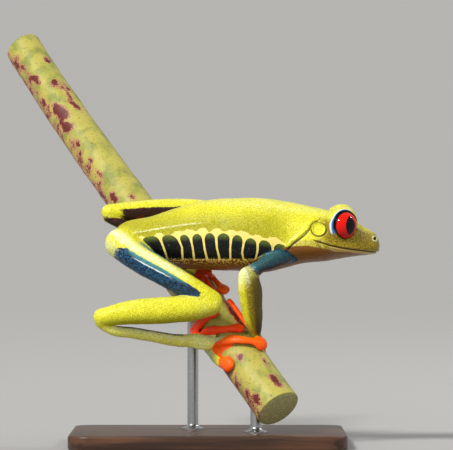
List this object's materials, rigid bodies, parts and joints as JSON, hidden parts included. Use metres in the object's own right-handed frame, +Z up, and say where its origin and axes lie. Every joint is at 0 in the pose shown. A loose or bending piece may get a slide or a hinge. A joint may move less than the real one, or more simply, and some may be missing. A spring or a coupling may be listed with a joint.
{
  "type": "red-eyed tree frog",
  "caption": "Life-size still model of a red-eyed tree frog gripping a slanted cut stem, held by two short rods on a flat display base.",
  "frame": {"origin": "centre of the underside of the stand's base", "axes": "+X the way the frog looks, +Y to the frog's left, +Z up"},
  "size_m": [0.0868, 0.0795, 0.0953],
  "materials": {
    "back_skin": "moist, finely granular yellow-green skin",
    "flank_skin": "granular skin with dark bars and cream lines on the flank",
    "throat_skin": "smooth pale tan throat skin",
    "thigh_skin": "smooth blue thigh skin with a yellow-green upper stripe",
    "digit_skin": "moist orange skin",
    "eye": "wet cornea over a red iris with a vertical pupil",
    "stem": "fresh green-yellow bark with maroon blotches",
    "stand_wood": "oiled dark wood",
    "stand_steel": "brushed"
  },
  "bodies": {
    "root": {"ankle_left": "back_skin", "ankle_right": "back_skin", "eardrum_left": "back_skin", "eardrum_right": "back_skin", "eye_left": "eye", "eye_right": "eye", "finger_left_1": "digit_skin", "finger_left_2": "digit_skin", "finger_left_3": "digit_skin", "finger_left_4": "digit_skin", "finger_right_1": "digit_skin", "finger_right_2": "digit_skin", "finger_right_3": "digit_skin", "finger_right_4": "digit_skin", "foot_left": "digit_skin", "foot_right": "digit_skin", "forearm_left": "back_skin", "forearm_right": "back_skin", "hand_left": "digit_skin", "hand_right": "digit_skin", "head": "back_skin", "lower_jaw": "throat_skin", "perch_stem": "stem", "shin_left": "back_skin", "shin_right": "back_skin", "stand_base": "stand_wood", "stand_rod_front": "stand_steel", "stand_rod_rear": "stand_steel", "thigh_left": "thigh_skin", "thigh_right": "thigh_skin", "toe_left_1": "digit_skin", "toe_left_2": "digit_skin", "toe_left_3": "digit_skin", "toe_left_4": "digit_skin", "toe_left_5": "digit_skin", "toe_right_1": "digit_skin", "toe_right_2": "digit_skin", "toe_right_3": "digit_skin", "toe_right_4": "digit_skin", "toe_right_5": "digit_skin", "trunk": "flank_skin", "upper_arm_left": "thigh_skin", "upper_arm_right": "thigh_skin"}
  },
  "joints": []
}
